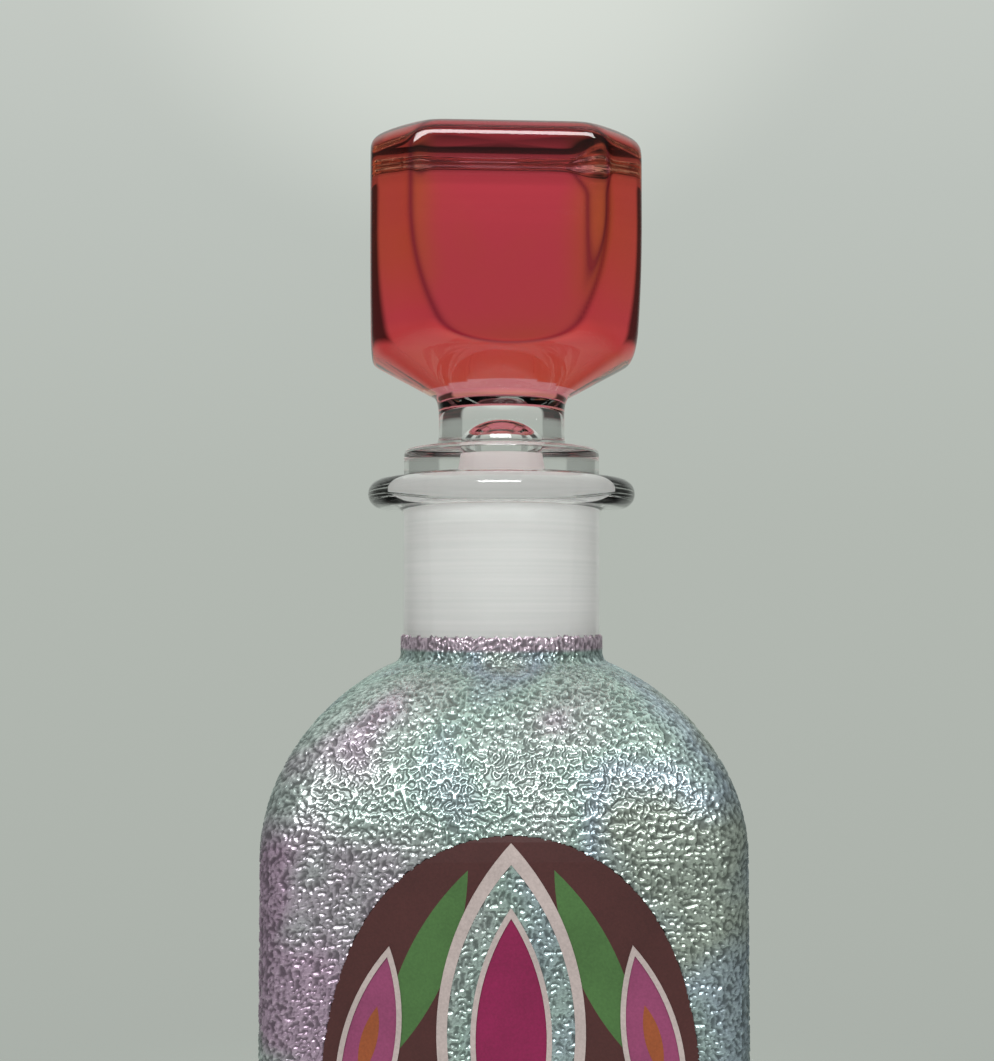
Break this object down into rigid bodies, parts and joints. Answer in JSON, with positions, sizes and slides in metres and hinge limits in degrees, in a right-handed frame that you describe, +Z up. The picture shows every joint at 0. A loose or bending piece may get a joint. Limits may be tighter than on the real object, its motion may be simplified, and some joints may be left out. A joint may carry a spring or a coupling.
{
  "type": "square glass decanter with ground glass stopper",
  "caption": "Square glass decanter with a hammered lustre coat, an enamelled oval window and a ruby-stained block stopper that lifts out of a ground neck.",
  "frame": {"origin": "middle of the base, on the surface that the bottle stands on", "axes": "+Z up along the neck; the enamelled window faces -Y"},
  "size_m": [0.071, 0.071, 0.2376],
  "materials": {
    "clear_glass": "clear polished glass, with the neck bore and the plug ground to a white frosted surface",
    "lustre_coat": "hammered silvery lustre with teal, lilac and blue play of colour",
    "maroon_enamel": "glossy opaque fired enamel",
    "green_enamel": "glossy opaque fired enamel",
    "pink_enamel": "glossy opaque fired enamel",
    "magenta_enamel": "glossy opaque fired enamel",
    "yellow_enamel": "glossy opaque fired enamel",
    "orange_enamel": "glossy opaque fired enamel",
    "contour_enamel": "raised pale contour enamel, satin",
    "ruby_stain": "translucent ruby and amber lustre stain on polished glass"
  },
  "bodies": {
    "bottle": {"vessel": "clear_glass", "hammered_coat": "lustre_coat", "enamel_ground": "maroon_enamel", "enamel_leaves": "green_enamel", "enamel_petals": "pink_enamel", "enamel_hearts": "magenta_enamel", "enamel_buds": "yellow_enamel", "enamel_sparks": "orange_enamel", "contour_lines": "contour_enamel"},
    "stopper": {"stopper_glass": "clear_glass", "ruby_stain": "ruby_stain"}
  },
  "joints": [
    {"name": "stopper_lift", "type": "slide", "parent": "bottle", "child": "stopper", "axis": [0, 0, 1], "range_m": [0, 0.06]}
  ]
}
